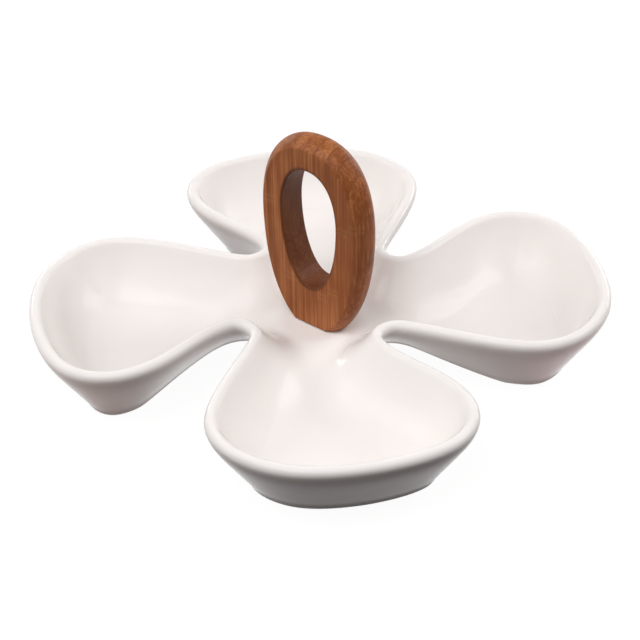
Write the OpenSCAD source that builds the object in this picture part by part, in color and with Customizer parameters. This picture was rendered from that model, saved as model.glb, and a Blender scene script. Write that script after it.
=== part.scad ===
// Divided serving bowl: a porcelain dish of four petal bowls round a low hub,
// with an upright bamboo ring handle bolted through the hub from below.
// Origin: on the hub's axis, at the table. Petals point along X and Y.

/* [Petals] */
// Hub axis to the middle of the lip at the tip of a petal
petal_reach = 152; // [145:1:170]
// Height of the lip's middle above the table
rim_h = 38; // [36:0.5:42]
// Radius of the rounded lip
lip_r = 3.5; // [3:0.25:4]
// Horizontal run of the inner wall, from the lip to the floor
bowl_run = 42; // [36:1:46]
// Height of a bowl's floor above the table
floor_h = 8.5; // [8:0.5:10]
// Thickness of the porcelain under a bowl
wall_t = 5; // [4:0.25:5.5]
// Horizontal run of the inner wall at a notch, from the lip to the hub
notch_run = 27; // [24:0.5:28]
// Distance from the hub axis within which the floor climbs to the hub
climb_r = 80; // [70:1:95]
// Outer angle of the wall at the lip, from the vertical
wall_lean = 25; // [20:1:30]

/* [Feet] */
// How far the foot stands in from the lip, at a petal
foot_in = 17; // [14:0.5:19]
// How far the wall's lower edge stands in from the lip, at a notch
notch_in = 11; // [9:0.5:12]
// Width of the unglazed land that stands on the table
foot_w = 5; // [4:0.25:6]
// Radius of the foot's outer edge
foot_r = 3; // [2:0.25:3.5]
// Clear height under the lower edge of the wall, at a notch
arch_h = 19.5; // [17:0.5:21]
// Distance from the hub axis where the arch comes down to the table
arch_r = 106; // [95:1:115]
// Shape of the arch, higher keeps it low for longer
arch_power = 1.3; // [1.2:0.1:2]

/* [Hub] */
// Height of the hub's flat seat above the table
hub_h = 21.5; // [20:0.5:23]
// Radius of the flat seat under the handle
seat_r = 19; // [18:0.25:20]
// Thickness of the porcelain at the hub
hub_t = 5.5; // [5:0.25:6]
// Diameter of the hole through the hub
hub_bore_d = 8; // [7:0.25:9]

/* [Handle] */
// Width of the ring
ring_w = 69.5; // [64:0.5:75]
// Height of the ring above its foot
ring_h = 111; // [101:1:121]
// Thickness of the bamboo board
board_t = 17.5; // [16:0.5:20]
// Depth of the flat cut that makes the foot
foot_cut = 8; // [7:0.5:9]
// Rise of the rounded rim from the board's faces to its middle
rim_bulge = 4.8; // [3:0.2:6]
// Radius of the hole's edges
hole_edge_r = 1.2; // [0.8:0.1:2]
// Width of the finger hole
hole_w = 36; // [32:1:39]
// Height of the finger hole
hole_h = 70; // [64:1:74]
// Wood between the foot and the finger hole
web_h = 24; // [23:0.5:27]
// Turn of the ring about the hub axis, so that it stands between the petals
ring_turn = -46; // [-90:1:90]

/* [Fastening] */
// Thickness of the silicone pad under the handle
pad_t = 0.8; // [0.5:0.1:1.5]
// Length of the silicone pad
pad_l = 23; // [19:1:24]
// How far the pad stands in from the faces of the board
pad_in = 2.5; // [2:0.25:3.5]
// Gap between two parts that are clamped together
seat_gap = 0.02; // [0.01:0.01:0.05]
// Diameter of the screw's shank
screw_d = 5; // [4:0.5:6]
// Thread engaged in the insert
engage_l = 9; // [8:0.5:10]
// Diameter of the screw's head
head_d = 9.5; // [9:0.25:11]
// Height of the screw's head
head_h = 3; // [2.5:0.25:3.5]
// Size across the flats of the hexagon socket
socket_af = 3; // [2.5:0.5:3.5]
// Depth of the hexagon socket
socket_deep = 1.8; // [1.5:0.1:2]
// Outer diameter of the brass insert
insert_d = 8; // [7.5:0.25:9]
// Length of the brass insert
insert_l = 12; // [11:0.5:14]
// Width of the grip rings round the insert
insert_ring = 0.4; // [0.3:0.05:0.5]
// Diameter of the steel washer
washer_d = 22; // [18:1:24]
// Thickness of the steel washer
washer_t = 1.2; // [1:0.1:1.6]
// Diameter of the rubber washer
rubber_d = 20; // [16:1:22]
// Thickness of the rubber washer
rubber_t = 1.5; // [1:0.1:2]
// Clearance on diameter between the screw and what it passes through
screw_clear = 0.1; // [0.05:0.01:0.1]
// Clearance on diameter of the holes in pad and washers
washer_clear = 0.4; // [0.3:0.05:0.6]
// Clearance on diameter between the insert and its bore
insert_clear = 0.04; // [0.02:0.01:0.1]

/* [Hidden] */
petals = 4;
petal_step = 360 / petals;
overrun = 1;
round_fn = 48;

// Control points of a petal's lip, from one notch round the tip to the next, as shares of its reach
lip_shares = [
    [0.205, -0.240], [0.260, -0.240], [0.380, -0.300], [0.555, -0.390], [0.725, -0.445],
    [0.880, -0.375], [0.990, -0.210], [1.005, -0.005], [0.980, 0.175], [0.910, 0.365],
    [0.745, 0.440], [0.575, 0.365], [0.450, 0.230], [0.305, 0.130]
];
lip_points = len(lip_shares);
splits = 3;
columns = lip_points * splits;
rungs = columns / 2;
rung_steps = 8;
inner_rings = 8;
lip_rings = 6;
wall_rings = 3;
round_rings = 3;
wall_power = 2.6;
notch_soft = 0.5;

// The ring's egg-shaped outlines: how square they are, and how much wider at the top
outer_square = 2.2;
outer_top_share = 0.15;
hole_square = 2.2;
hole_top_share = 0.13;
ring_steps = 72;
rim_steps = 5;
rim_power = 2.2;
hole_round_steps = 2;

notch_r = norm(lip_at(0));
hub_under = hub_h - hub_t;
ring_base = hub_h + pad_t + 2 * seat_gap;
stack_t = rubber_t + washer_t + hub_t + pad_t + 4 * seat_gap;
shank_l = stack_t + seat_gap + engage_l;
washer_top = hub_under - rubber_t - 2 * seat_gap;
head_top = washer_top - washer_t - seat_gap;
head_edge = head_h / 4;
insert_bore_l = insert_l + 2 * seat_gap + screw_d / 2;
grip_rings = 4;
land_step = foot_r / 10;
grip_h = insert_l / (2 * grip_rings - 1);

function turn(p, a) = [p[0] * cos(a) - p[1] * sin(a), p[0] * sin(a) + p[1] * cos(a)];
function mix(a, b, t) = a + (b - a) * t;
function clamp(x) = max(0, min(1, x));
function ease(t) = clamp(t) * clamp(t) * (3 - 2 * clamp(t));

// Control point of the whole lip, petal after petal
function lip_control(i) =
    let (n = lip_points * petals, k = (i + n) % n)
    turn(petal_reach * lip_shares[k % lip_points], petal_step * floor(k / lip_points));

// Middle of the lip, on a smooth spline through the control points
function lip_at(c) =
    let (i = floor(c / splits), t = c / splits - i)
    (lip_control(i - 1) * pow(1 - t, 3)
     + lip_control(i) * (3 * pow(t, 3) - 6 * pow(t, 2) + 4)
     + lip_control(i + 1) * (-3 * pow(t, 3) + 3 * pow(t, 2) + 3 * t + 1)
     + lip_control(i + 2) * pow(t, 3)) / 6;

// Level direction into the bowl, square to the lip
function inward(c) =
    let (tangent = lip_at(c + 0.5) - lip_at(c - 0.5))
    [-tangent[1], tangent[0]] / norm(tangent);

// The lip of one petal and of its neighbours' near sides, to measure distances from
near_lip = [for (c = [-columns / 4 : 0.5 : columns * 5 / 4]) lip_at(c)];

function to_segment(p, a, b) =
    let (ab = b - a, t = clamp((p - a) * ab / (ab * ab)))
    norm(p - a - ab * t);
function to_lip(p) =
    min([for (i = [0 : len(near_lip) - 2]) to_segment(p, near_lip[i], near_lip[i + 1])]);

// How far a place is on its way from the hub's seat out to the bowls, from 0 to 1
function outward(r) = ease((r - seat_r) / (climb_r - seat_r));

// Glazed surface inside the dish, at a distance d from the lip and r from the hub axis
function inside_at(d, r) =
    let (start_d = lip_r * cos(wall_lean), start_h = rim_h + lip_r * sin(wall_lean),
         run = mix(notch_run, bowl_run, outward(r)),
         t = clamp((d - start_d) / (run - start_d)),
         drop = mix(ease(t), 1 - pow(1 - t, wall_power), mix(notch_soft, 1, outward(r))))
    mix(start_h, mix(hub_h, floor_h, outward(r)), drop);

function under_at(d, r) = inside_at(d, r) - mix(hub_t, wall_t, outward(r));

// Share of the way from a notch to the full petal, by the lip's distance from the hub axis
function petal_share(c) = ease((norm(lip_at(c)) - notch_r) / (arch_r - notch_r));
function foot_inset(c) = mix(notch_in, foot_in, petal_share(c));
function foot_level(c) =
    arch_h * pow(clamp((arch_r - norm(lip_at(c))) / (arch_r - notch_r)), arch_power);
function shell_inset(c) = foot_inset(c) + foot_w + foot_r / 2;

// Section through the wall at one place of the lip: down the inside from the lip, as [inset, height],
// listed from the innermost point over the lip and round the foot to the innermost point below
function wall_section(c) =
    let (base = lip_at(c), dir = inward(c),
         foot = foot_inset(c), level = foot_level(c), land = foot + foot_w, deep = shell_inset(c),
         lip_c = lip_r * cos(wall_lean), lip_s = lip_r * sin(wall_lean))
    concat(
        [for (k = [0 : inner_rings])
            let (d = mix(deep, lip_c, k / inner_rings))
            [d, inside_at(d, norm(base + dir * d))]],
        [for (k = [1 : lip_rings])
            let (a = mix(wall_lean, 180 + wall_lean, k / lip_rings))
            [lip_r * cos(a), rim_h + lip_r * sin(a)]],
        [for (k = [1 : wall_rings])
            [mix(-lip_c, foot, k / wall_rings), mix(rim_h - lip_s, level + foot_r, k / wall_rings)]],
        [for (k = [1 : round_rings])
            let (a = 90 * k / round_rings)
            [foot + foot_r * (1 - cos(a)), level + foot_r * (1 - sin(a))]],
        [[land, min(level, under_at(land, norm(base + dir * land)) - land_step)],
         [deep, under_at(deep, norm(base + dir * deep))]]
    );

function column_points(c) =
    let (base = lip_at(c), dir = inward(c))
    [for (s = wall_section(c)) let (p = base + dir * s[0]) [p[0], p[1], s[1]]];

// Points of a rung that crosses a petal from one side's innermost ring to the other's
function rung_points(i, below) =
    let (a = lip_at(i) + inward(i) * shell_inset(i),
         j = columns - i,
         b = lip_at(j) + inward(j) * shell_inset(i))
    [for (s = [1 : rung_steps - 1])
        let (p = mix(a, b, s / rung_steps), d = to_lip(p))
        [p[0], p[1], below ? under_at(d, norm(p)) : inside_at(d, norm(p))]];

module shell() {
    // All points: the wall's columns, the rungs above and below, and the two edges of the hub's seat
    wall = [for (c = [0 : columns - 1]) column_points(c)];
    per_column = len(wall[0]);
    last = per_column - 1;
    ladder = [for (below = [false, true]) [for (i = [0 : rungs - 1]) rung_points(i, below)]];
    start = lip_at(0) + inward(0) * shell_inset(0);
    seat = [for (s = [0 : rung_steps - 1])
        seat_r * turn(start / norm(start), petal_step * s / rung_steps)];
    wall_count = petals * columns * per_column;
    rung_count = petals * rungs * (rung_steps - 1);
    points = concat(
        [for (q = [0 : petals - 1], c = [0 : columns - 1], p = wall[c])
            let (t = turn(p, petal_step * q)) [t[0], t[1], p[2]]],
        [for (side = ladder, q = [0 : petals - 1], rung = side, p = rung)
            let (t = turn(p, petal_step * q)) [t[0], t[1], p[2]]],
        [for (h = [hub_h, hub_under], q = [0 : petals - 1], p = seat)
            let (t = turn(p, petal_step * q)) [t[0], t[1], h]]
    );
    function at_wall(q, c, k) = ((q * columns + c) % (petals * columns)) * per_column + k;
    function at_rung(q, i, s, side) =
        s == 0 ? at_wall(q, i, side * last)
        : s == rung_steps ? at_wall(q, columns - i, side * last)
        : wall_count + side * rung_count + (q * rungs + i) * (rung_steps - 1) + s - 1;
    function at_seat(j, side) =
        wall_count + 2 * rung_count + side * petals * rung_steps + j % (petals * rung_steps);
    function facing(f, side) = side == 0 ? f : [f[2], f[1], f[0]];
    walls = [for (q = [0 : petals - 1], c = [0 : columns - 1], k = [0 : last - 1])
        let (a = at_wall(q, c, k), b = at_wall(q, c + 1, k),
             d = at_wall(q, c, k + 1), e = at_wall(q, c + 1, k + 1))
        each [[a, b, e], [a, e, d]]];
    floors = [for (side = [0, 1], q = [0 : petals - 1], i = [0 : rungs - 2], s = [0 : rung_steps - 1])
        let (a = at_rung(q, i, s, side), b = at_rung(q, i, s + 1, side),
             d = at_rung(q, i + 1, s, side), e = at_rung(q, i + 1, s + 1, side))
        each [facing([a, b, e], side), facing([a, e, d], side)]];
    tips = [for (side = [0, 1], q = [0 : petals - 1], s = [0 : rung_steps - 1])
        facing([at_rung(q, rungs - 1, s, side), at_rung(q, rungs - 1, s + 1, side),
                at_wall(q, rungs, side * last)], side)];
    hub = [for (side = [0, 1], q = [0 : petals - 1], s = [0 : rung_steps - 1])
        let (j = q * rung_steps + s, a = at_seat(j, side), b = at_seat(j + 1, side),
             d = at_rung(q, 0, s, side), e = at_rung(q, 0, s + 1, side))
        each [facing([a, b, e], side), facing([a, e, d], side)]];
    seats = [for (side = [0, 1])
        let (n = petals * rung_steps)
        [for (j = [0 : n - 1]) at_seat(side == 0 ? n - 1 - j : j, side)]];
    polyhedron(points, concat(walls, floors, tips, hub, seats), convexity = 10);
}

module petal_dish() {
    color("whitesmoke")
    difference() {
        shell();
        translate([0, 0, hub_under - overrun])
            cylinder(d = hub_bore_d, h = hub_t + 2 * overrun, $fn = round_fn);
    }
}

// Point of an egg: a rounded oval, w wide and h tall, wider at the top by a share
function egg(w, h, square, top_share, a) =
    let (m = pow(pow(abs(cos(a)), square) + pow(abs(sin(a)), square), -1 / square))
    [w / 2 * m * cos(a) * (1 + top_share * m * sin(a)), h / 2 * m * sin(a)];

// Section of the ring at one angle, in its own plane and across its thickness
function ring_section(a) =
    let (full_h = ring_h + foot_cut,
         outer = egg(ring_w, full_h, outer_square, outer_top_share, a) + [0, full_h / 2 - foot_cut],
         inner = egg(hole_w, hole_h, hole_square, hole_top_share, a) + [0, web_h + hole_h / 2],
         out = (outer - inner) / norm(outer - inner))
    concat(
        [for (k = [-rim_steps : rim_steps])
            let (u = k / rim_steps, p = outer - out * rim_bulge * pow(abs(u), rim_power))
            [p[0], u * board_t / 2, p[1]]],
        [for (k = [0 : hole_round_steps])
            let (t = 90 * k / hole_round_steps, p = inner + out * hole_edge_r * (1 - sin(t)))
            [p[0], board_t / 2 - hole_edge_r * (1 - cos(t)), p[1]]],
        [for (k = [hole_round_steps : -1 : 0])
            let (t = 90 * k / hole_round_steps, p = inner + out * hole_edge_r * (1 - sin(t)))
            [p[0], -board_t / 2 + hole_edge_r * (1 - cos(t)), p[1]]]
    );

module ring_body() {
    sections = [for (i = [0 : ring_steps - 1]) ring_section(360 * i / ring_steps)];
    n = len(sections[0]);
    points = [for (s = sections) each s];
    faces = [for (i = [0 : ring_steps - 1], j = [0 : n - 1])
        let (a = i * n + j, b = i * n + (j + 1) % n,
             c = ((i + 1) % ring_steps) * n + j, d = ((i + 1) % ring_steps) * n + (j + 1) % n)
        each [[a, d, b], [a, c, d]]];
    polyhedron(points, faces, convexity = 10);
}

module bamboo_handle() {
    color("sienna")
    translate([0, 0, ring_base])
    rotate([0, 0, ring_turn])
    difference() {
        ring_body();
        translate([-ring_w / 2, -board_t, -2 * foot_cut])
            cube([ring_w, 2 * board_t, 2 * foot_cut]);
        translate([0, 0, -overrun])
            cylinder(d = insert_d + insert_clear, h = insert_bore_l + overrun, $fn = round_fn);
    }
}

module hub_pad() {
    pad_w = board_t - 2 * pad_in;
    reach = (pad_l - pad_w) / 2;
    color("gainsboro")
    translate([0, 0, hub_h + seat_gap])
    rotate([0, 0, ring_turn])
    difference() {
        union() {
            for (x = [-reach, reach])
                translate([x, 0, 0])
                    cylinder(d = pad_w, h = pad_t, $fn = round_fn);
            translate([-reach, -pad_w / 2, 0])
                cube([2 * reach, pad_w, pad_t]);
        }
        translate([0, 0, -overrun])
            cylinder(d = screw_d + washer_clear, h = pad_t + 2 * overrun, $fn = round_fn);
    }
}

module threaded_insert() {
    color("goldenrod")
    translate([0, 0, ring_base + seat_gap])
    difference() {
        union() {
            cylinder(d = insert_d - 2 * insert_ring, h = insert_l, $fn = round_fn);
            for (k = [0 : grip_rings - 1])
                translate([0, 0, 2 * k * grip_h])
                    cylinder(d = insert_d, h = grip_h, $fn = round_fn);
        }
        translate([0, 0, -overrun])
            cylinder(d = screw_d + screw_clear, h = insert_l + 2 * overrun, $fn = round_fn);
    }
}

module handle_screw() {
    color("silver")
    difference() {
        union() {
            translate([0, 0, head_top - head_h])
                cylinder(d1 = head_d - 2 * head_edge, d2 = head_d, h = head_edge, $fn = round_fn);
            translate([0, 0, head_top - head_h + head_edge])
                cylinder(d = head_d, h = head_h - head_edge, $fn = round_fn);
            translate([0, 0, head_top - head_edge])
                cylinder(d = screw_d, h = shank_l + head_edge, $fn = round_fn);
        }
        translate([0, 0, head_top - head_h - overrun])
            cylinder(d = socket_af / cos(30), h = socket_deep + overrun, $fn = 6);
    }
}

module plain_washer(d, t, top) {
    translate([0, 0, top - t])
    difference() {
        cylinder(d = d, h = t, $fn = round_fn);
        translate([0, 0, -overrun])
            cylinder(d = screw_d + washer_clear, h = t + 2 * overrun, $fn = round_fn);
    }
}

module steel_washer() {
    color("lightgray")
    plain_washer(washer_d, washer_t, washer_top);
}

module rubber_washer() {
    color("dimgray")
    plain_washer(rubber_d, rubber_t, hub_under - seat_gap);
}

petal_dish();
bamboo_handle();
hub_pad();
threaded_insert();
handle_screw();
steel_washer();
rubber_washer();
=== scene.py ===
"""Dressed model of a divided serving bowl: a glazed petal dish with a bamboo ring handle."""
import logging
import math
from contextlib import contextmanager
from dataclasses import dataclass
from enum import Enum
from functools import reduce
from typing import Any, Callable, Iterator, Optional, Sequence

import bmesh
import bpy
import numpy as np
from mathutils import Matrix, Vector
from numpy.linalg import norm


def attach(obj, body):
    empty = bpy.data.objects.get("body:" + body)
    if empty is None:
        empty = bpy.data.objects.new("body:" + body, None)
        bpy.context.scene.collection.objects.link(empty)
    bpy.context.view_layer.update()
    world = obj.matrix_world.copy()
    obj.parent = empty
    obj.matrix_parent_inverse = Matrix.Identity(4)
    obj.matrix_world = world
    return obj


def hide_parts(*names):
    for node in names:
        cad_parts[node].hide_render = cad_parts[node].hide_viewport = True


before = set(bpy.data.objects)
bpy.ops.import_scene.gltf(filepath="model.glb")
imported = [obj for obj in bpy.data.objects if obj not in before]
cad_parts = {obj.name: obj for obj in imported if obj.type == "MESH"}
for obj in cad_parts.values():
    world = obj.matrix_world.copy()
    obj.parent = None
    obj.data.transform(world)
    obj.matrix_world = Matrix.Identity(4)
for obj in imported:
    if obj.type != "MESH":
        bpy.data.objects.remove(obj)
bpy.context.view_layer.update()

LOG = logging.getLogger("serving_bowl")
MM = 0.001
ROOT = "root"
Rgb = tuple[float, float, float]


# Shader maths


def operator(operation: str, reflected: bool = False) -> Callable[..., "Value"]:
    """Makes the method of one of Python's operators.

    Args:
        operation: the operation of the node that it adds.
        reflected: whether the other value comes first.

    Returns:
        The method, for a value alone or with another.
    """
    def method(self: "Value", *other: Any) -> "Value":
        """Adds the node and gives its result."""
        return self.math(operation, *((*other, self) if reflected else (self, *other)))
    return method


class Value:
    """One socket of a node: a shader, or a number that changes over a surface, with Python's operators."""

    def __init__(self, graph: "Graph", socket: bpy.types.NodeSocket) -> None:
        """Keeps the graph and the socket."""
        self.graph, self.socket = graph, socket

    def math(self, operation: str, *values: Any) -> "Value":
        """Adds one Math node and gives its result."""
        return self.graph.value("Math", dict(enumerate(values)), operation=operation)

    __add__, __radd__ = operator("ADD"), operator("ADD", True)
    __sub__, __rsub__ = operator("SUBTRACT"), operator("SUBTRACT", True)
    __mul__, __truediv__ = operator("MULTIPLY"), operator("DIVIDE")
    __pow__, highest = operator("POWER"), operator("MAXIMUM")
    __abs__, floor, fraction = operator("ABSOLUTE"), operator("FLOOR"), operator("FRACT")

    def step(self, low: float, high: float) -> "Value":
        """A smooth step, 0 at low and 1 at high, of which either may be the lower."""
        ends = {0: self, 1: low, 2: high}
        return self.graph.value("MapRange", ends, interpolation_type="SMOOTHSTEP", clamp=True)


class Place(Value):
    """A vector or colour that changes over a surface, whose operators work part by part."""

    def math(self, operation: str, *values: Any) -> "Place":
        """Adds one Vector Math node and gives its result."""
        return self.graph.place("VectorMath", dict(enumerate(values)), operation=operation)

    def parts(self) -> tuple[Value, Value, Value]:
        """Its three numbers."""
        node = self.graph.node("SeparateXYZ", {0: self})
        return tuple(Value(self.graph, socket) for socket in node.outputs)


class Graph:
    """The node tree of one material or world."""

    def __init__(self, tree: bpy.types.NodeTree) -> None:
        """Empties the tree."""
        self.tree = tree
        tree.nodes.clear()

    def node(self, kind: str, inputs: dict[Any, Any], **settings: Any) -> bpy.types.Node:
        """Adds a shader node.

        Args:
            kind: its type.
            inputs: its sockets by name or number, each with a number, a colour or a value to link.
            settings: its own settings, which are set first.

        Returns:
            The new node.
        """
        node = self.tree.nodes.new(f"ShaderNode{kind}")
        for name, setting in settings.items():
            setattr(node, name, setting)
        for name, given in inputs.items():
            if isinstance(given, Value):
                self.tree.links.new(given.socket, node.inputs[name])
            else:
                node.inputs[name].default_value = given
        return node

    def value(self, kind: str, inputs: dict[Any, Any], out: Any = 0, **settings: Any) -> Value:
        """Adds a node, as node() does, and gives its output of that name or number."""
        return Value(self, self.node(kind, inputs, **settings).outputs[out])

    def place(self, kind: str, inputs: dict[Any, Any], out: Any = 0, **settings: Any) -> Place:
        """Adds a node and gives one of its outputs as a vector."""
        return Place(self, self.node(kind, inputs, **settings).outputs[out])

    def mix(self, factor: Value, low: Any, high: Any) -> Place:
        """Mixes two colours, each three numbers or mixed before: low where the factor is 0, high at 1."""
        low, high = ((*end, 1.0) if isinstance(end, tuple) else end for end in (low, high))
        return self.place("Mix", {0: factor, 6: low, 7: high}, 2, data_type="RGBA", clamp_factor=True)

    def millimetres(self) -> Place:
        """The place on the piece, in its own axes, in millimetres."""
        return self.place("TexCoord", {}, "Object") * (1 / MM, 1 / MM, 1 / MM)

    def noise(self, spot: Place, scale: float = 1.0, detail: float = 2.0) -> Value:
        """Soft noise about one half: so many swells in one unit of spot, and so many finer layers."""
        return self.value("TexNoise", {"Vector": spot, "Scale": scale, "Detail": detail}, "Fac")

    def cells(self, spot: Place, scale: float) -> Value:
        """Distance to the nearest of scattered points, of which a unit of spot has as many as scale."""
        return self.value("TexVoronoi", {"Vector": spot, "Scale": scale}, "Distance")

    def chance(self, number: Value) -> Value:
        """A value from 0 to 1 that looks random, and is the same for the same number."""
        return self.value("TexWhiteNoise", {"W": number}, "Value", noise_dimensions="1D")

    def vector(self, x: Value, y: Value, z: Any) -> Place:
        """A vector of three numbers."""
        return self.place("CombineXYZ", {"X": x, "Y": y, "Z": z})

    def bump(self, height: Value, depth: float) -> Place:
        """A normal bumped by a height, of which 1 is as deep as depth, in millimetres."""
        return self.place("Bump", {"Height": height, "Distance": depth * MM, "Strength": 1.0}, "Normal")

    def finish(self, inputs: dict[str, Any]) -> None:
        """Adds the surface shader, with these inputs, and the output."""
        self.node("OutputMaterial", {"Surface": self.value("BsdfPrincipled", inputs)})


# Finishes


def new_material(name: str) -> tuple[bpy.types.Material, Graph]:
    """Makes a node material.

    Args:
        name: its name.

    Returns:
        The material and its empty graph.
    """
    material = bpy.data.materials.new(name)
    material.use_nodes = True
    return material, Graph(material.node_tree)


@dataclass(frozen=True)
class PorcelainFinish:
    """White glazed porcelain with a bare, matt foot."""

    body: Rgb = (0.905, 0.868, 0.845)
    pooled: Rgb = (0.855, 0.818, 0.795)
    # Lighter tone of the lip's thin glaze, also used as painted light on the tops of the walls.
    thin_glaze_and_light: Rgb = (0.915, 0.880, 0.858)
    bare: Rgb = (0.72, 0.67, 0.60)
    speck: Rgb = (0.62, 0.56, 0.50)
    speck_reach: tuple[float, float] = (0.006, 0.018)
    speck_share: float = 0.5
    roughness: float = 0.07
    roughness_drift: float = 0.035
    bare_roughness: float = 0.62
    bare_height_mm: float = 0.35
    specular: float = 0.125
    relief_mm: float = 0.16

    def material(self) -> bpy.types.Material:
        """Builds the material.

        Returns:
            The glaze, deeper in colour in the hollows and thinner at the lip, with painted light on the tops
            of the walls.
        """
        material, g = new_material("Porcelain_Glaze")
        spot = g.millimetres()
        _, _, height = spot.parts()
        pooling, lip = (g.value("Attribute", {}, "Fac", attribute_name=name) for name in ("pooling", "lip"))
        cloud = g.noise(spot, 0.03, 3.0)
        drift = g.noise(spot, 0.011, 1.0)
        bare = height.step(self.bare_height_mm, self.bare_height_mm * 0.4)
        grit = g.noise(spot, 2.2, 4.0)
        speck = g.cells(spot, 0.055).step(self.speck_reach[1], self.speck_reach[0]) * self.speck_share
        tone = pooling + (cloud - 0.5) * 0.6
        colour = g.mix(tone, self.body, self.pooled)
        # Thin glaze on the lip itself; on the tops of the walls the same lighter tone is painted light.
        colour = g.mix(lip * (0.5 + drift), colour, self.thin_glaze_and_light)
        colour = g.mix(speck, colour, self.speck)
        colour = g.mix(bare, colour, self.bare)
        skin = self.roughness + cloud * self.roughness_drift
        rough = skin + bare * (self.bare_roughness - self.roughness)
        swell = g.noise(spot, 0.05, 1.0) + g.noise(spot, 0.35, 1.0) * 0.06
        relief = swell * (1 - bare) + bare * (0.5 + grit * 0.35)
        g.finish({"Base Color": colour, "Roughness": rough, "IOR": 1.5,
                  "Specular IOR Level": self.specular, "Normal": g.bump(relief, self.relief_mm)})
        return material


@dataclass(frozen=True)
class BambooFinish:
    """Steamed, dark bamboo strips glued side by side, oiled."""

    light: Rgb = (0.48, 0.184, 0.067)
    middle: Rgb = (0.355, 0.113, 0.034)
    dark: Rgb = (0.215, 0.062, 0.018)
    glue: Rgb = (0.085, 0.026, 0.010)
    knot: Rgb = (0.62, 0.33, 0.14)
    # Painted shade for the finger hole's wall, which the ring keeps from the light.
    painted_hole_shade: Rgb = (0.060, 0.016, 0.006)
    # The finger hole's shape, which places the painted shade on its wall.
    hole_mm: tuple[float, float] = (18.0, 35.0)
    hole_mid_mm: float = 59.0
    hole_top_share: float = 0.13
    hole_power: float = 2.2
    # How strong the painted shade on the finger hole's wall is.
    painted_hole_shade_share: float = 0.72
    strip_mm: float = 7.2
    node_reach_mm: tuple[float, float] = (0.8, 3.6)
    roughness: float = 0.40
    specular: float = 0.14
    relief_mm: float = 0.09

    def material(self) -> bpy.types.Material:
        """Builds the material.

        Returns:
            Bamboo whose strips run up the board, with fibres, end grain, glue lines and nodes, and painted
            shade on the finger hole's wall.
        """
        material, g = new_material("Steamed_Bamboo")
        spot = g.millimetres()
        across, _, up = spot.parts()
        wander = g.noise(spot * (0.02, 0.02, 0.012), 1.0, 1.0)
        lane = (across + (wander - 0.5) * 2.2 + 1.7) / self.strip_mm
        strip = lane.floor()
        within = lane.fraction()
        luck = g.chance(strip * 1.37 + 4.1)
        node_luck = g.chance(strip * 2.11 + 9.7)
        _, _, facing_up = g.place("NewGeometry", {}, "Normal").parts()
        end_grain = abs(facing_up).step(0.35, 0.95)
        local = spot + g.vector(luck * 31.0, node_luck * 17.0, luck * 9.0)
        streak = g.noise(local * (0.95, 0.95, 0.013), 1.0, 3.5)
        fine = g.noise(local * (3.0, 3.0, 0.035))
        broad = g.noise(local * (0.20, 0.20, 0.010))
        patch = g.noise(spot * (0.09, 0.05, 0.045))
        bundles = g.cells(local * (1.0, 1.0, 0.022), 1.0)
        dots = bundles.step(0.36, 0.12) * (0.35 + within * 0.65)
        glue_line = (abs(within - 0.5) * 2.0).step(0.93, 0.985)
        level = node_luck * 150.0 - 12.0
        wave = (g.noise(local * (0.7, 0.7, 0.02)) - 0.5) * 2.6
        from_node = abs(up - level + wave)
        node_core = from_node.step(0.9, 0.1)
        node_edge = from_node.step(self.node_reach_mm[1], self.node_reach_mm[0]) * (1 - node_core)
        tone = (streak - 0.5) * 1.8 + (fine - 0.5) * 0.9 + (broad - 0.5) * 0.9 + luck * 0.42 + 0.30
        tone = tone - within * 0.10 + (patch - 0.5) * 0.9
        colour = g.mix(tone, self.dark, self.middle)
        colour = g.mix((tone - 0.45) * 1.25, colour, self.light)
        colour = g.mix(dots * (0.30 + end_grain * 0.50), colour, self.dark)
        colour = g.mix(glue_line * (0.26 + end_grain * 0.40), colour, self.glue)
        colour = g.mix(node_edge * 0.10, colour, self.knot)
        colour = g.mix(node_core * 0.16, colour, self.dark)
        # Painted shade: darkens the finger hole's wall, which the ring keeps from the light.
        colour = g.mix(self._hole_shade_mask(across, up) * self.painted_hole_shade_share, colour, self.painted_hole_shade)
        rough = self.roughness + (streak - 0.5) * 0.22 + end_grain * 0.10
        relief = streak * 0.55 + fine * 0.35 - dots * 0.45 - glue_line * 0.6 + node_edge * 0.2
        g.finish({"Base Color": colour, "Roughness": rough, "IOR": 1.5,
                  "Specular IOR Level": self.specular, "Normal": g.bump(relief, self.relief_mm)})
        return material

    def _hole_shade_mask(self, across: Value, up: Value) -> Value:
        """Painted shade on the finger hole's wall, where the ring keeps the light off it.

        Args:
            across: place across the board.
            up: height above the foot.

        Returns:
            1 on the wall of the hole, 0 on the faces and the rim.
        """
        high = (up - self.hole_mid_mm) / self.hole_mm[1]
        wide = across / self.hole_mm[0] / (high * self.hole_top_share + 1)
        return (abs(wide) ** self.hole_power + abs(high) ** self.hole_power).step(1.2, 1.03)


class Grain(Enum):
    """How a small part's surface was finished."""

    MOULDED = "moulded"
    TURNED = "turned"
    ROLLED = "rolled"


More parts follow.
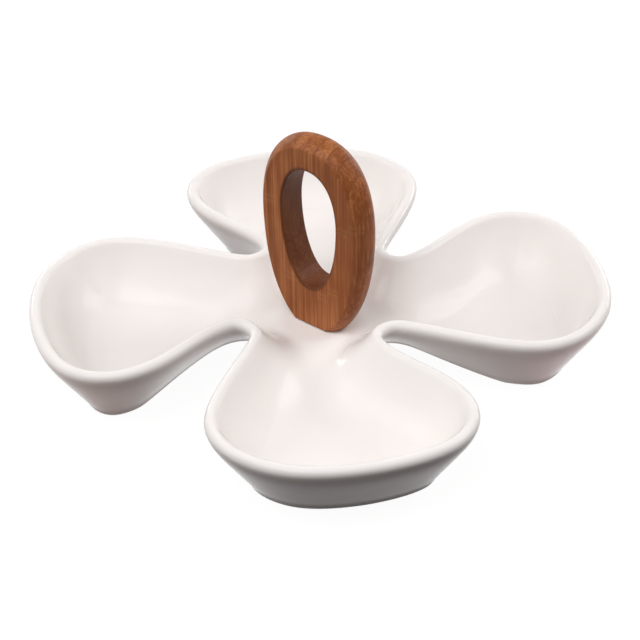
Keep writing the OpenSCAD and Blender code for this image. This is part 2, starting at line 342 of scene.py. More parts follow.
@dataclass(frozen=True)
class SmallPartFinish:
    """Metal, silicone or rubber of the fastening."""

    name: str
    colour: Rgb
    worn: Rgb
    metallic: float
    roughness: float
    grain: Grain
    relief_mm: float = 0.02

    def material(self) -> bpy.types.Material:
        """Builds the material.

        Returns:
            The finish, with turning rings, rolled streaks or a moulded skin.
        """
        material, g = new_material(self.name)
        spot = g.millimetres()
        across, along, up = spot.parts()
        cloud = g.noise(spot, 0.35, 3.0)
        if self.grain is Grain.TURNED:
            radius = (across * across + along * along) ** 0.5
            marks = g.noise(g.vector(radius * 9.0, up * 9.0, 0.0))
        elif self.grain is Grain.ROLLED:
            marks = g.noise(spot * (7.0, 0.4, 7.0))
        else:
            marks = g.noise(spot, 5.0)
        colour = g.mix((cloud - 0.42) * 2.2, self.colour, self.worn)
        rough = self.roughness + (cloud - 0.5) * 0.2 + (marks - 0.5) * 0.12
        g.finish({"Base Color": colour, "Roughness": rough, "Metallic": self.metallic,
                  "Normal": g.bump(marks + cloud * 0.3, self.relief_mm)})
        return material


SILICONE = SmallPartFinish("Clear_Silicone", (0.62, 0.61, 0.58), (0.52, 0.51, 0.49), 0.0, 0.45, Grain.MOULDED)
BRASS = SmallPartFinish("Turned_Brass", (0.78, 0.55, 0.24), (0.60, 0.40, 0.16), 1.0, 0.30, Grain.TURNED)
SCREW_STEEL = SmallPartFinish("Screw_Steel", (0.56, 0.56, 0.57), (0.40, 0.40, 0.42), 1.0, 0.32, Grain.TURNED)
SHEET_STEEL = SmallPartFinish("Washer_Steel", (0.60, 0.60, 0.60), (0.47, 0.47, 0.48), 1.0, 0.36, Grain.ROLLED)
RUBBER = SmallPartFinish("Black_Rubber", (0.035, 0.035, 0.036), (0.06, 0.06, 0.06), 0.0, 0.7, Grain.MOULDED)


# Mesh helpers


Piece = bpy.types.Object
Points = np.ndarray
Faces = list[tuple[int, ...]]


def add_object(name: str, data: Any) -> Piece:
    """Puts a new object into the scene.

    Args:
        name: its name.
        data: its mesh, lamp or camera.

    Returns:
        The object.
    """
    thing = bpy.data.objects.new(name, data)
    bpy.context.scene.collection.objects.link(thing)
    return thing


@contextmanager
def editing(mesh: bpy.types.Mesh) -> Iterator[bmesh.types.BMesh]:
    """Opens a mesh for editing and writes it back at the end.

    Args:
        mesh: the mesh.

    Yields:
        What it is edited in.
    """
    bm = bmesh.new()
    bm.from_mesh(mesh)
    yield bm
    bm.to_mesh(mesh)
    bm.free()


def make_piece(name: str, points: Points, faces: Faces, sharp_degrees: float = 35.0) -> Piece:
    """Makes a mesh object.

    Args:
        name: the object's name.
        points: its vertices in millimetres, one row each.
        faces: corner numbers of its faces.
        sharp_degrees: edges that turn more than this stay crisp.

    Returns:
        The object, in metres.
    """
    mesh = bpy.data.meshes.new(name)
    mesh.from_pydata((points * MM).tolist(), [], faces)
    settle(mesh, sharp_degrees)
    return add_object(name, mesh)


def settle(mesh: bpy.types.Mesh, sharp_degrees: float = 35.0) -> None:
    """Points a mesh's faces outward and shades it smooth.

    Args:
        mesh: the mesh.
        sharp_degrees: edges that turn more than this stay crisp.
    """
    limit = math.radians(sharp_degrees)
    with editing(mesh) as bm:
        bmesh.ops.recalc_face_normals(bm, faces=bm.faces)
        for face in bm.faces:
            face.smooth = True
        for edge in bm.edges:
            edge.smooth = not edge.is_manifold or edge.calc_face_angle(0.0) <= limit
    mesh.update()


def carve(piece: Piece, tool: Piece) -> None:
    """Cuts one closed mesh out of another and drops the tool.

    Args:
        piece: the piece to cut.
        tool: the shape to take away.
    """
    cut = piece.modifiers.new("cut", "BOOLEAN")
    cut.operation, cut.solver, cut.object = "DIFFERENCE", "EXACT", tool
    bpy.context.view_layer.update()
    graph = bpy.context.evaluated_depsgraph_get()
    mesh = bpy.data.meshes.new_from_object(piece.evaluated_get(graph))
    piece.modifiers.clear()
    old = piece.data
    piece.data = mesh
    bpy.data.meshes.remove(old)
    bpy.data.objects.remove(tool)
    mesh.name = piece.name
    settle(mesh)


def band(near: Sequence[int], far: Sequence[int]) -> Faces:
    """Faces between two rings of point numbers."""
    turned = [*range(1, len(near)), 0]
    return [(near[j], near[k], far[k], far[j]) for j, k in enumerate(turned)]


def strip(near: Sequence[int], far: Sequence[int]) -> Faces:
    """Faces between two open rows of point numbers."""
    return [(near[k], far[k], far[k + 1], near[k + 1]) for k in range(len(near) - 1)]


def tube(rings: int, steps: int, closed: bool) -> Faces:
    """Faces along a row of rings.

    Args:
        rings: how many rings the points have.
        steps: how many points a ring has.
        closed: whether the last ring joins the first.

    Returns:
        Four-sided faces.
    """
    numbers = np.arange(rings * steps).reshape(rings, steps).tolist()
    after = numbers[1:] + numbers[:1] * closed
    return [face for near, far in zip(numbers, after) for face in band(near, far)]


def lathe(name: str, profile: Sequence[tuple[float, float]], steps: int,
          radius_at: Optional[Callable[[Points, Points, Points], Points]] = None) -> Piece:
    """Turns a closed profile round the Z axis.

    Args:
        name: the piece's name.
        profile: rows of radius and height in millimetres. Ends at radius 0 close by themselves.
        steps: facets round the axis.
        radius_at: changes the radius, given radius, angle and height.

    Returns:
        The piece.
    """
    outline = np.array(profile, float)
    angles = np.linspace(0, 2 * math.pi, steps, endpoint=False)
    radius, angle = np.meshgrid(outline[:, 0], angles, indexing="ij")
    height = np.repeat(outline[:, 1:2], steps, axis=1)
    if radius_at is not None:
        radius = radius_at(radius, angle, height)
    points = np.stack([radius * np.cos(angle), radius * np.sin(angle), height], -1).reshape(-1, 3)
    piece = make_piece(name, points, tube(len(outline), steps, bool(outline[0, 0] > 0)))
    with editing(piece.data) as bm:
        bmesh.ops.remove_doubles(bm, verts=bm.verts, dist=1e-7)
    settle(piece.data)
    return piece


def place_piece(piece: Piece, node: str, material: bpy.types.Material,
                height: float = 0.0, turn: float = 0.0) -> None:
    """Dresses a piece and puts it in the place of its solid.

    Args:
        piece: the piece, at the foot of the hub's axis.
        node: the solid that it stands for.
        material: the finish.
        height: how far up the axis it stands, in millimetres.
        turn: how far it is turned round the axis.
    """
    piece.matrix_world = Matrix.Translation((0, 0, height * MM)) @ Matrix.Rotation(turn, 4, "Z")
    piece.data.materials.clear()
    piece.data.materials.append(material)
    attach(piece, ROOT)
    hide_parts(node)


# The dish


def mix(a: Any, b: Any, t: Any) -> Any:
    """Goes from a to b as t goes from 0 to 1."""
    return a + (b - a) * t


def ease(t: Any) -> Any:
    """Smooth step from 0 to 1."""
    t = np.clip(t, 0.0, 1.0)
    return t * t * (3 - 2 * t)


LIP_SHARES = (
    (0.205, -0.240), (0.260, -0.240), (0.380, -0.300), (0.555, -0.390), (0.725, -0.445),
    (0.880, -0.375), (0.990, -0.210), (1.005, -0.005), (0.980, 0.175), (0.910, 0.365),
    (0.745, 0.440), (0.575, 0.365), (0.450, 0.230), (0.305, 0.130),
)


@dataclass
class PetalDish:
    """The porcelain casting: four petal bowls round a hub. Lengths are in millimetres."""

    petals: int = 4
    petal_reach: float = 152.0
    rim_h: float = 38.0
    lip_r: float = 3.5
    bowl_run: float = 42.0
    floor_h: float = 8.5
    wall_t: float = 5.0
    notch_run: float = 27.0
    climb_r: float = 80.0
    wall_lean: float = math.radians(25)
    lip_tuck: float = math.radians(10)
    lip_fade: float = 7.0
    foot_in: float = 17.0
    notch_in: float = 11.0
    foot_w: float = 5.0
    foot_r: float = 3.0
    arch_h: float = 19.5
    arch_r: float = 106.0
    arch_power: float = 1.3
    hub_h: float = 21.5
    seat_r: float = 19.0
    hub_t: float = 5.5
    hub_bore_d: float = 8.0
    wall_power: float = 2.6
    notch_soft: float = 0.5
    splits: int = 8
    rung_steps: int = 26
    inner_rings: int = 16
    lip_rings: int = 14
    wall_rings: int = 14
    round_rings: int = 7
    hub_rings: int = 4
    smooth_passes: int = 24
    ring_crowding: float = 1.6
    foot_belly: float = 0.12
    bore_edge: float = 0.4
    bore_dish: float = 0.25

    def __post_init__(self) -> None:
        """Works out the lip once, as a fine line to measure from."""
        self.columns = len(LIP_SHARES) * self.splits
        self.rungs = self.columns // 2
        self.all_columns = self.columns * self.petals
        self.step = 2 * math.pi / self.petals
        shares = np.array(LIP_SHARES) * self.petal_reach
        self.controls = np.concatenate([self.turned(shares, q) for q in range(self.petals)])
        every = np.arange(self.all_columns)
        self.lip = self.lip_at(every)
        tangent = self.lip_at(every + 0.5) - self.lip_at(every - 0.5)
        normal = np.stack([-tangent[:, 1], tangent[:, 0]], 1)
        self.inward = normal / norm(normal, axis=1)[:, None]
        self.lip_far = norm(self.lip, axis=1)
        self.notch_far = self.lip_far[0]

    def turned(self, points: Points, petal: int) -> Points:
        """Points of the first petal, turned onto another one."""
        c, s = math.cos(petal * self.step), math.sin(petal * self.step)
        return points @ np.array([[c, s, 0], [-s, c, 0], [0, 0, 1]])[:points.shape[1], :points.shape[1]]

    def lip_at(self, column: Points) -> Points:
        """The lip's middle line.

        Args:
            column: places along the lip, in columns.

        Returns:
            Level points of a uniform cubic B-spline.
        """
        place = np.asarray(column, float) / self.splits
        first = np.floor(place).astype(int)
        t = (place - first)[:, None]
        count = len(self.controls)
        a, b, c, d = (self.controls[(first + k) % count] for k in (-1, 0, 1, 2))
        return (a * (1 - t) ** 3 + b * (3 * t ** 3 - 6 * t ** 2 + 4)
                + c * (-3 * t ** 3 + 3 * t ** 2 + 3 * t + 1) + d * t ** 3) / 6

    def to_lip(self, spots: Points) -> Points:
        """Distance from the lip.

        Args:
            spots: level points of the first petal.

        Returns:
            The least distance of each to the lip's line.
        """
        near = np.concatenate([self.lip[-self.columns // 3:], self.lip[:self.columns * 4 // 3 + 1]])
        start, run = near[:-1], np.diff(near, axis=0)
        offset = spots[:, None, :] - start[None]
        share = np.clip((offset * run).sum(-1) / (run * run).sum(-1), 0, 1)
        return norm(offset - run * share[..., None], axis=-1).min(1)

    def outward(self, far: Any) -> Any:
        """Share of the way from the seat to the bowls, at a distance from the hub's axis."""
        return ease((far - self.seat_r) / (self.climb_r - self.seat_r))

    def inside_at(self, depth: Any, far: Any) -> Any:
        """Height of the glaze inside.

        Args:
            depth: distance from the lip.
            far: distance from the hub's axis.

        Returns:
            The height.
        """
        start = self.lip_r * math.cos(self.wall_lean)
        top = self.rim_h + self.lip_r * math.sin(self.wall_lean)
        away = self.outward(far)
        run = mix(self.notch_run, self.bowl_run, away)
        t = np.clip((depth - start) / (run - start), 0, 1)
        drop = mix(ease(t), 1 - (1 - t) ** self.wall_power, mix(self.notch_soft, 1, away))
        return mix(top, mix(self.hub_h, self.floor_h, away), drop)

    def under_at(self, depth: Any, far: Any) -> Any:
        """Height of the underside, as inside_at gives it for the inside."""
        return self.inside_at(depth, far) - mix(self.hub_t, self.wall_t, self.outward(far))

    def wall(self) -> tuple[Points, Points]:
        """The wall round the whole lip.

        Returns:
            Points by column and ring, from the innermost above to the innermost below, and the
            share of each that takes the lip's lighter tone: the lip itself, and as painted light the tops of
            the walls.
        """
        share = ease((self.lip_far - self.notch_far) / (self.arch_r - self.notch_far))
        foot = mix(self.notch_in, self.foot_in, share)
        gap = np.clip((self.arch_r - self.lip_far) / (self.arch_r - self.notch_far), 0, 1)
        level = self.arch_h * gap ** self.arch_power
        land = foot + self.foot_w
        deep = land + self.foot_r / 2
        inner_start = self.lip_r * math.cos(self.wall_lean)
        outer_start = -self.lip_r * math.cos(self.lip_tuck)
        tuck = self.rim_h - self.lip_r * math.sin(self.lip_tuck)
        fall = tuck - level - self.foot_r
        roll = (foot - outer_start) / fall - math.tan(self.lip_tuck)
        belly = self.foot_r * self.foot_belly
        rows: list[tuple[Any, Any, float]] = []

        def far_at(inset: Points) -> Points:
            """Distance from the hub's axis at an inset from the lip."""
            return norm(self.lip + self.inward * inset[:, None], axis=1)

        for k in range(self.inner_rings + 1):
            inset = mix(deep, inner_start, k / self.inner_rings)
            # Painted light: the top quarter of the inner wall takes the lip's lighter tone.
            rows.append((inset, self.inside_at(inset, far_at(inset)), max(0.0, k / self.inner_rings * 4 - 3)))
        for k in range(1, self.lip_rings + 1):
            a = mix(self.wall_lean, math.pi + self.lip_tuck, k / self.lip_rings)
            rows.append((self.lip_r * math.cos(a), self.rim_h + self.lip_r * math.sin(a), 1.0))
        for k in range(1, self.wall_rings + 1):
            t = (k / self.wall_rings) ** self.ring_crowding
            eased = roll * fall * t * np.exp(-fall * t / self.lip_fade)
            inset = mix(outer_start, foot, t) - (belly * math.sin(math.pi * t) + eased)
            # Painted light: the top of the outer wall takes the lip's lighter tone, fading downward.
            rows.append((inset, mix(tuck, level + self.foot_r, t), max(0.0, 1 - t * 5)))
        for k in range(1, self.round_rings + 1):
            a = math.pi / 2 * k / self.round_rings
            inset = foot + self.foot_r * (1 - math.cos(a))
            rows.append((inset, level + self.foot_r * (1 - math.sin(a)), 0.0))
        rows.append((land, np.minimum(level, self.under_at(land, far_at(land)) - self.foot_r / 10), 0.0))
        rows.append((deep, self.under_at(deep, far_at(deep)), 0.0))
        insets, heights, lip_and_light_shares = (np.stack([np.broadcast_to(row[k], self.lip_far.shape) for row in rows], 1)
                                 for k in range(3))
        flat = self.lip[:, None, :] + self.inward[:, None, :] * insets[..., None]
        return np.concatenate([flat, heights[..., None]], -1), lip_and_light_shares

    def ladder(self, wall: Points, below: bool) -> Points:
        """Rungs across the first petal.

        Args:
            wall: the wall's points.
            below: whether the rungs are the underside's.

        Returns:
            Points by rung and step, without the ends, which belong to the wall.
        """
        edge = wall[:, -1 if below else 0, :]
        near, far = np.arange(self.rungs), self.columns - np.arange(self.rungs)
        a, b = edge[near], edge[far % self.all_columns]
        t = (np.arange(1, self.rung_steps) / self.rung_steps)[None, :, None]
        spots = mix(a[:, None, :2], b[:, None, :2], t)
        flat = spots.reshape(-1, 2)
        depth, radius = self.to_lip(flat), norm(flat, axis=1)
        height = (self.under_at if below else self.inside_at)(depth, radius).reshape(spots.shape[:2])
        full = np.concatenate([a[:, None, 2], height, b[:, None, 2]], 1)
        for _ in range(self.smooth_passes):
            full[1:-1, 1:-1] = (full[1:-1, 1:-1] * 4 + full[:-2, 1:-1] + full[2:, 1:-1]
                                + full[1:-1, :-2] + full[1:-1, 2:]) / 8
        return np.concatenate([spots, full[:, 1:-1, None]], -1)

    def mesh(self) -> tuple[Points, Faces, Points, Points]:
        """Builds the whole closed mesh.

        Returns:
            Points, faces, and for each point how much it takes the lip's lighter tone, partly as painted
            light, and how much glaze pools there.
        """
        wall, lip_and_light_shares = self.wall()
        numbers = np.arange(lip_and_light_shares.size).reshape(lip_and_light_shares.shape)
        rows = numbers.tolist()
        faces = [face for near, far in zip(rows, rows[1:] + rows[:1]) for face in strip(near, far)]
        blocks = [wall.reshape(-1, 3)]
        for below in (False, True):
            rungs = self.ladder(wall, below).reshape(-1, 3)
            blocks += [self.turned(rungs, q) for q in range(self.petals)]
        start, bore_ends = sum(map(len, blocks)), []
        for side in (0, 1):
            edge, ring = numbers[:, -side], []
            for q in range(self.petals):
                first, along = q * self.columns, np.arange(self.rungs)
                inner = lip_and_light_shares.size + (side * self.petals + q) * len(rungs) + np.arange(len(rungs))
                grid = np.vstack([edge[first + along], inner.reshape(self.rungs, -1).T,
                                  edge[(first + self.columns - along) % self.all_columns]]).tolist()
                tip = int(edge[first + self.rungs])
                for near, far in zip(grid, grid[1:]):
                    faces += [*strip(near, far), (near[-1], far[-1], tip)]
                ring += [row[0] for row in grid[:-1]]
            for circle in self.hub_circles(np.concatenate(blocks)[ring], side):
                blocks.append(circle)
                inner = list(range(start, start + len(ring)))
                start += len(ring)
                faces += band(ring, inner)
                ring = inner
            bore_ends.append(ring)
        faces += band(*bore_ends)
        points = np.concatenate(blocks)
        return points, faces, np.append(lip_and_light_shares, np.zeros(len(points) - lip_and_light_shares.size)), self.pooling(points)

    def hub_circles(self, outer: Points, side: int) -> list[Points]:
        """Rings of points over the hub.

        Args:
            outer: the petals' first rungs, all round.
            side: 0 above and 1 below.

        Returns:
            Rings from there in to the edge of the bore.
        """
        angle = np.arctan2(outer[:, 1], outer[:, 0])
        ways = np.stack([np.cos(angle), np.sin(angle)], 1)
        reach = norm(outer[:, :2], axis=1)
        seat_h = self.hub_h - side * self.hub_t
        bore_r = self.hub_bore_d / 2
        circles = []
        for k in range(1, self.hub_rings + 1):
            radius = mix(reach, self.seat_r, k / self.hub_rings)
            spots = radius[:, None] * ways
            height = (self.under_at if side else self.inside_at)(self._lip_distance(spots), radius)
            circles.append(np.column_stack([spots, mix(height, seat_h, ease(k / self.hub_rings))]))
        for radius in (self.seat_r * 0.75, self.seat_r * 0.5, bore_r + self.bore_edge, bore_r):
            drop = (2 * side - 1) * self.bore_dish if radius == bore_r else 0.0
            circles.append(np.column_stack([radius * ways, np.full(len(angle), seat_h + drop)]))
        return circles

    def _lip_distance(self, spots: Points) -> Points:
        """Distance to the lip for points anywhere round the hub.

        Args:
            spots: level points.

        Returns:
            The distance of each, once turned back onto the first petal.
        """
        back = -np.round(np.arctan2(spots[:, 1], spots[:, 0]) / self.step) * self.step
        c, s = np.cos(back), np.sin(back)
        x, y = spots[:, 0], spots[:, 1]
        return self.to_lip(np.stack([x * c - y * s, x * s + y * c], 1))

    def pooling(self, points: Points) -> Points:
        """How much glaze pools at each point: none at the lip, most on a bowl's floor."""
        depth, away = self._lip_distance(points[:, :2]), self.outward(norm(points[:, :2], axis=1))
        return ease(depth / mix(self.notch_run, self.bowl_run, away)) * mix(0.3, 1.0, away)

    def build(self) -> Piece:
        """Makes the dish and puts it in place.

        Returns:
            The dish.
        """
        points, faces, lip_and_light_shares, pooling = self.mesh()
        piece = make_piece("Dish", points, faces, 50.0)
        # The lip layer holds the lip's tone, and painted light on the tops of the walls.
        for name, values in (("lip", lip_and_light_shares), ("pooling", pooling)):
            layer = piece.data.attributes.new(name, "FLOAT", "POINT")
            layer.data.foreach_set("value", values.astype(np.float32))
        place_piece(piece, "petal_dish", PorcelainFinish().material())
        return piece


# The handle


@dataclass
class RingHandle:
    """The bamboo board cut to an egg-shaped ring. Lengths are in millimetres."""

    ring_w: float = 69.5
    ring_h: float = 111.0
    board_t: float = 17.5
    foot_cut: float = 8.0
    rim_bulge: float = 4.8
    rim_power: float = 2.2
    arris_r: float = 0.5
    hole_edge_r: float = 1.2
    hole_w: float = 36.0
    hole_h: float = 70.0
    web_h: float = 24.0
    ring_turn: float = math.radians(-46)
    ring_base: float = 22.34
    insert_bore_r: float = 4.02
    insert_bore_l: float = 14.54
    outer_square: float = 2.2
    outer_top_share: float = 0.15
    hole_square: float = 2.2
    hole_top_share: float = 0.13
    steps: int = 192
    rim_rings: int = 24
    hole_rings: int = 5
    face_shares: tuple[float, ...] = (0.03, 0.2, 0.5, 0.8, 0.97)

    @staticmethod
    def egg(w: float, h: float, square: float, top_share: float, angle: Points) -> Points:
        """An egg: an oval that is wider at the top.

        Args:
            w: its width.
            h: its height.
            square: how square it is, 2 for an oval.
            top_share: how much wider it is at the top.
            angle: where to take the points.

        Returns:
            Points in the board's plane.
        """
        c, s = np.cos(angle), np.sin(angle)
        m = (np.abs(c) ** square + np.abs(s) ** square) ** (-1 / square)
        return np.stack([w / 2 * m * c * (1 + top_share * m * s), h / 2 * m * s], 1)

    def section(self) -> list[Points]:
        """The board's rings.

        Returns:
            Rings of points, from the front edge over the rim and back through the hole.
        """
        angle = np.linspace(0, 2 * math.pi, self.steps, endpoint=False)
        full = self.ring_h + self.foot_cut
        outer = self.egg(self.ring_w, full, self.outer_square, self.outer_top_share, angle)
        outer[:, 1] += full / 2 - self.foot_cut
        inner = self.egg(self.hole_w, self.hole_h, self.hole_square, self.hole_top_share, angle)
        inner[:, 1] += self.web_h + self.hole_h / 2
        out = outer - inner
        out /= norm(out, axis=1)[:, None]
        half = self.board_t / 2
        edge, bulge, hole_edge_r = self.arris_r, self.rim_bulge, self.hole_edge_r
        bends = [math.pi / 2 * k / self.hole_rings for k in range(self.hole_rings + 1)]
        face_edge, hole_edge = outer - out * (bulge + edge * 0.6), inner + out * hole_edge_r
        back = [(outer - out * (bulge - edge * 0.35), half - edge * 0.25)]
        back += [(mix(face_edge, hole_edge, t), half) for t in (0.0, *self.face_shares)]
        back += [(inner + out * hole_edge_r * (1 - math.sin(a)), half - hole_edge_r * (1 - math.cos(a)))
                 for a in bends]
        shares = [(2 * k / self.rim_rings - 1) * (1 - edge / half) for k in range(self.rim_rings + 1)]
        rim = [(outer - out * bulge * abs(u) ** self.rim_power, u * half) for u in shares]
        rings = rim + back + [(flat, -depth) for flat, depth in reversed(back)]
        return [np.stack([flat[:, 0], np.full(len(flat), depth), flat[:, 1]], 1) for flat, depth in rings]

    def build(self) -> Piece:
        """Makes the handle and stands it on the hub.

        Returns:
            The handle.
        """
        rings = self.section()
        points = np.stack(rings, 1).reshape(-1, 3)
        piece = make_piece("Handle", points, tube(self.steps, len(rings), True))
        with editing(piece.data) as bm:
            whole = bm.verts[:] + bm.edges[:] + bm.faces[:]
            bmesh.ops.bisect_plane(bm, geom=whole, dist=1e-7, plane_co=(0, 0, 0), plane_no=(0, 0, -1),
                                   clear_outer=True)
            bmesh.ops.contextual_create(bm, geom=[e for e in bm.edges if e.is_boundary])
        radius, deep, below = self.insert_bore_r, self.insert_bore_l, -5.0
        carve(piece, lathe("bore", [(0.0, below), (radius, below), (radius, deep), (0.0, deep)], 48))
        finish = BambooFinish().material()
        place_piece(piece, "bamboo_handle", finish, self.ring_base, self.ring_turn)
        return piece


# The fastening


@dataclass
class Fastening:
    """What holds the handle: pad, insert, screw and washers. Lengths are in millimetres."""

    hub_h: float = 21.5
    hub_t: float = 5.5
    gap: float = 0.02
    pad_t: float = 0.8
    pad_l: float = 23.0
    pad_w: float = 12.5
    pad_hole_r: float = 2.7
    board_turn: float = math.radians(-46)
    screw_r: float = 2.5
    pitch: float = 0.8
    thread_deep: float = 0.45
    rows_a_turn: int = 10
    engage_l: float = 9.0
    head_r: float = 4.75
    head_h: float = 3.0
    head_fillet: float = 0.7
    socket_af: float = 3.0
    socket_deep: float = 1.8
    insert_r: float = 4.0
    insert_l: float = 12.0
    insert_ring: float = 0.4
    grips: int = 4
    knurls: int = 24
    knurl_deep: float = 0.16
    edge: float = 0.15
    insert_bore_r: float = 2.55
    washer_r: float = 11.0
    washer_t: float = 1.2
    rubber_r: float = 10.0
    rubber_t: float = 1.5
    washer_hole_r: float = 2.7

    def __post_init__(self) -> None:
        """Works out the stack's heights from the hub down and up."""
        self.hub_under = self.hub_h - self.hub_t
        self.rubber_top = self.hub_under - self.gap
        self.washer_top = self.rubber_top - self.rubber_t - self.gap
        self.head_top = self.washer_top - self.washer_t - self.gap
        self.pad_base = self.hub_h + self.gap
        self.ring_base = self.pad_base + self.pad_t + self.gap
        self.shank_top = self.ring_base + self.engage_l

    def pad(self) -> Piece:
        """Makes the silicone pad.

        Returns:
            A round-ended strip with a hole.
        """
        half_w, reach, top, bore = self.pad_w / 2, (self.pad_l - self.pad_w) / 2, self.pad_t, self.pad_hole_r
        edge, hole_edge, steps = 0.2, 0.1, 96
        angle = np.linspace(0, 2 * math.pi, steps, endpoint=False) + math.pi / steps
        x, y = np.cos(angle), np.sin(angle)
        rim = [(half_w - edge, 0.0), (half_w, edge), (half_w, top - edge), (half_w - edge, top)]
        hole = [(bore + hole_edge, top), (bore, top - hole_edge), (bore, hole_edge), (bore + hole_edge, 0.0)]
        rings = [np.column_stack([r * x + np.sign(x) * out, r * y, np.full(steps, z)])
                 for rows, out in ((rim, reach), (hole, 0.0)) for r, z in rows]
        return make_piece("Silicone_Pad", np.concatenate(rings), tube(len(rings), steps, True))

    def thread(self, core: float, crest: float) -> Callable[[Points, Points, Points], Points]:
        """A helical thread.

        Args:
            core: radius at the bottom of the groove.
            crest: radius at the top of the thread.

        Returns:
            A function that gives the radius at an angle and height.
        """
        def radius(given: Points, angle: Points, height: Points) -> Points:
            """The thread's radius where a profile gives a radius below 0, and the given one elsewhere."""
            ridge = 1 - np.abs(2 * ((height / self.pitch - angle / (2 * math.pi)) % 1.0) - 1)
            return np.where(given < 0, mix(core, crest, np.clip(1.6 * ridge - 0.2, 0, 1)), given)
        return radius

    def screw(self) -> Piece:
        """Makes the socket screw.

        Returns:
            Rounded head, plain neck and cut thread.
        """
        length = self.shank_top - self.head_top
        fillet, neck = self.head_fillet, length - self.engage_l - 1.5
        head = [(0.0, -self.head_h), (self.head_r - fillet, -self.head_h)]
        head += [(self.head_r - fillet + fillet * math.sin(a), -self.head_h + fillet * (1 - math.cos(a)))
                 for a in (math.pi / 2 * k / 6 for k in range(1, 7))]
        head += [(self.head_r, -self.edge), (self.head_r - self.edge, 0.0)]
        head += [(self.screw_r, 0.0), (self.screw_r, neck)]
        rows = int((length - neck - 0.8) / self.pitch * self.rows_a_turn)
        threaded = [(-1.0, mix(neck + 0.1, length - 0.6, k / rows)) for k in range(rows + 1)]
        tip = [(self.screw_r - 0.5, length - 0.5), (self.screw_r - 0.7, length), (0.0, length)]
        cut = self.thread(self.screw_r - self.thread_deep, self.screw_r)
        piece = lathe("Handle_Screw", head + threaded + tip, 64, cut)
        corner = self.socket_af / 2 / math.cos(math.pi / 6)
        outside, bottom = -self.head_h - 2, -self.head_h + self.socket_deep
        key = lathe("key", [(0.0, outside), (corner, outside), (corner, bottom), (0.0, bottom + 0.6)], 6)
        carve(piece, key)
        return piece

    def insert(self) -> Piece:
        """Makes the brass insert.

        Returns:
            Knurled grip rings outside, cut thread inside.
        """
        barrel, full = self.insert_r - self.insert_ring, self.insert_r
        ring_h = self.insert_l / (2 * self.grips - 1)
        outside: list[tuple[float, float]] = []
        for k in range(self.grips):
            low, high = 2 * k * ring_h, (2 * k + 1) * ring_h
            outside += [(barrel, low), (full, low + self.edge), (full, high - self.edge), (barrel, high)]
        rows = int(self.insert_l / self.pitch * self.rows_a_turn)
        inside = [(-1.0, self.insert_l - self.insert_l * k / rows) for k in range(rows + 1)]
        cut = self.thread(self.insert_bore_r + 0.35, self.insert_bore_r)

        def radius(given: Points, angle: Points, height: Points) -> Points:
            """The thread's radius inside, and knurled grip rings outside."""
            knurl = self.knurl_deep * (0.5 - 0.5 * np.cos(angle * self.knurls))
            return cut(given, angle, height) - np.where(given >= full - 0.01, knurl, 0.0)

        return lathe("Brass_Insert", outside + inside, 120, radius)

    def washer(self, name: str, radius: float, thick: float, edge: float) -> Piece:
        """Makes a washer.

        Args:
            name: the piece's name.
            radius: its outer radius.
            thick: its thickness.
            edge: how much its edges are broken.

        Returns:
            The washer.
        """
        hole = self.washer_hole_r
        lower = [(hole, edge), (hole + edge, 0.0), (radius - edge, 0.0), (radius, edge)]
        return lathe(name, lower + [(r, thick - z) for r, z in reversed(lower)], 96)

    def build(self) -> list[Piece]:
        """Makes all the pieces of the fastening.

        Returns:
            The pieces.
        """
        pieces = (
            (self.pad(), "hub_pad", "silicone", SILICONE, self.pad_base, self.board_turn),
            (self.insert(), "threaded_insert", "brass", BRASS, self.ring_base + self.gap, 0.0),
            (self.screw(), "handle_screw", "screw_steel", SCREW_STEEL, self.head_top, 0.0),
            (self.washer("Steel_Washer", self.washer_r, self.washer_t, 0.12), "steel_washer",
             "washer_steel", SHEET_STEEL, self.washer_top - self.washer_t, 0.0),
            (self.washer("Rubber_Washer", self.rubber_r, self.rubber_t, 0.25), "rubber_washer",
             "black_rubber", RUBBER, self.rubber_top - self.rubber_t, 0.0),
        )
        for piece, node, slot, finish, height, turn in pieces:
            place_piece(piece, node, finish.material(), height, turn)
        return [row[0] for row in pieces]


# The studio


@dataclass
class Softbox:
    """One oblong lamp that faces the dish. Places and sizes are in metres."""

    name: str
    place: tuple[float, float, float]
    power: float
    size: tuple[float, float] = (0.9, 0.9)
    aim: tuple[float, float, float] = (0.0, 0.0, 0.03)

    def build(self) -> None:
        """Hangs the lamp."""
        lamp = bpy.data.lights.new(self.name, "AREA")
        lamp.shape, lamp.energy = "RECTANGLE", self.power
        lamp.size, lamp.size_y = self.size
        turn = (Vector(self.aim) - Vector(self.place)).to_track_quat("-Z", "Y").to_matrix().to_4x4()
        add_object(self.name, lamp).matrix_world = Matrix.Translation(self.place) @ turn


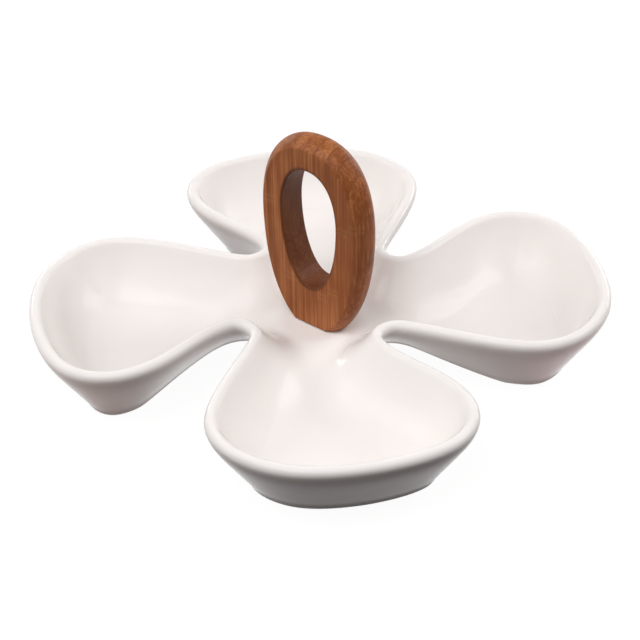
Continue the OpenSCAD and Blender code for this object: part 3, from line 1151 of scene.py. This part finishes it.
@dataclass
class Studio:
    """Floor, light and camera. The camera's values are those of the photograph's view."""

    focal_px: float = 1814.63
    frame_px: float = 640.0
    sensor_mm: float = 36.0
    elevation: float = math.radians(34.59)
    azimuth: float = math.radians(-5.25)
    roll: float = math.radians(-1.23)
    distance_mm: float = 974.7
    aside_mm: tuple[float, float] = (0.04, 14.55)
    rim_mm: float = 38.0
    floor_side: float = 12.0
    floor_gap_mm: float = 0.05
    floor_white: float = 1.04
    front_bounce: Rgb = (0.020, 0.004, 0.004)
    left_bounce: Rgb = (0.37, 0.285, 0.265)
    right_bounce: Rgb = (0.52, 0.40, 0.40)
    under_light: Rgb = (0.28, 0.255, 0.245)
    under_mm: tuple[float, float] = (96.0, 128.0)
    shadow_share: float = 0.09

    def camera(self) -> None:
        """Sets the camera where the photograph was taken from."""
        el, az = self.elevation, self.azimuth
        back = Vector((math.sin(az) * math.cos(el), -math.cos(az) * math.cos(el), math.sin(el)))
        right = Vector((math.cos(az), math.sin(az), 0.0))
        up = back.cross(right)
        c, s = math.cos(self.roll), math.sin(self.roll)
        right, up = right * c + up * s, up * c - right * s
        place = back * self.distance_mm - right * self.aside_mm[0] - up * self.aside_mm[1]
        place.z += self.rim_mm
        data = bpy.data.cameras.new("Camera")
        data.sensor_width = self.sensor_mm
        data.lens = self.focal_px / self.frame_px * self.sensor_mm
        data.clip_start, data.clip_end = 0.01, 50.0
        camera = add_object("Camera", data)
        turn = Matrix((right, up, back)).transposed().to_4x4()
        camera.matrix_world = Matrix.Translation(place * MM) @ turn
        bpy.context.scene.camera = camera

    def floor(self) -> None:
        """Lays the floor: white to the eye, with the dish's shadow, and open from below."""
        half = self.floor_side / 2
        mesh = bpy.data.meshes.new("Floor")
        corners = [(-half, -half, 0), (half, -half, 0), (half, half, 0), (-half, half, 0)]
        mesh.from_pydata(corners, [], [(0, 1, 2, 3)])
        floor = add_object("Floor", mesh)
        floor.location.z = -self.floor_gap_mm * MM
        material, g = new_material("Studio_Floor")
        seen = self._seen(g)
        aside, ahead, _ = g.millimetres().parts()
        sides = g.mix(aside.step(-40.0, 40.0), self.left_bounce, self.right_bounce)
        bounce = g.mix(abs(aside).step(60.0, 130.0) * ahead.step(-160.0, -100.0), self.front_bounce, sides)
        diffuse = g.value("BsdfDiffuse", {"Color": g.mix(seen, bounce, (1.0, 0.96, 0.96))})
        white = g.value("Emission", {"Color": (1.0, 1.0, 1.0, 1.0), "Strength": self.floor_white})
        glow = g.value("Emission", {"Color": (*self.under_light, 1.0), "Strength": 1.0})
        under = ((aside * aside + ahead * ahead) ** 0.5).step(self.under_mm[1], self.under_mm[0])
        card = self._blend(g, under * (1 - seen), diffuse, glow)
        clear = g.value("BsdfTransparent", {})
        below = g.value("NewGeometry", {}, "Backfacing")
        lit = self._blend(g, seen * (1 - self.shadow_share), card, white)
        g.node("OutputMaterial", {"Surface": self._blend(g, below, lit, clear)})
        mesh.materials.append(material)

    @staticmethod
    def _blend(g: Graph, factor: Value, low: Value, high: Value) -> Value:
        """Mixes two shaders: low where the factor is 0, high at 1."""
        return g.value("MixShader", {0: factor, 1: low, 2: high})

    @staticmethod
    def _seen(g: Graph) -> Value:
        """What the camera sees, straight, mirrored or through glass.

        Args:
            g: the graph of the floor or the room.

        Returns:
            1 for such light, 0 for other light.
        """
        path = g.node("LightPath", {})
        rays = (Value(g, path.outputs[f"Is {kind} Ray"]) for kind in ("Camera", "Glossy", "Transmission"))
        return reduce(Value.highest, rays)

    def world(self) -> None:
        """Gives the room its soft light, brighter from above, and a white background."""
        world = bpy.data.worlds.new("Studio")
        world.use_nodes = True
        bpy.context.scene.world = world
        g = Graph(world.node_tree)
        _, _, up = g.place("TexCoord", {}, "Generated").parts()
        room = g.mix(up.step(0.75, 0.95), (0.14, 0.125, 0.12), (0.16, 0.16, 0.16))
        colour = g.mix(self._seen(g), room, (1.0, 1.0, 1.0))
        g.node("OutputWorld", {"Surface": g.value("Background", {"Color": colour, "Strength": 1.0})})

    def build(self) -> None:
        """Sets up the whole studio."""
        self.camera()
        self.floor()
        self.world()
        lamps = (
            Softbox("Key", (-0.16, -0.89, 1.56), 6.0),
            Softbox("Fill_Left", (-0.69, -0.58, 1.56), 11.5),
            Softbox("Side_Left", (-1.33, 0.12, 1.20), 8.1),
            Softbox("Side_Right", (1.33, 0.12, 1.20), 12.0),
            Softbox("Back_Left", (-0.62, 1.08, 0.36), 2.0, (0.55, 0.14)),
            Softbox("Back_Right", (0.91, 0.88, 0.30), 3.1, (0.70, 0.14)),
        )
        for lamp in lamps:
            lamp.build()
        bpy.context.scene.view_settings.view_transform = "Standard"


def main() -> None:
    """Builds the studio, the dish, the handle and its fastening."""
    logging.basicConfig(level=logging.INFO, format="%(message)s")
    Studio().build()
    for piece in (PetalDish().build(), RingHandle().build(), *Fastening().build()):
        LOG.info("%s: %d faces", piece.name, len(piece.data.polygons))


if __name__ == "__main__":
    main()
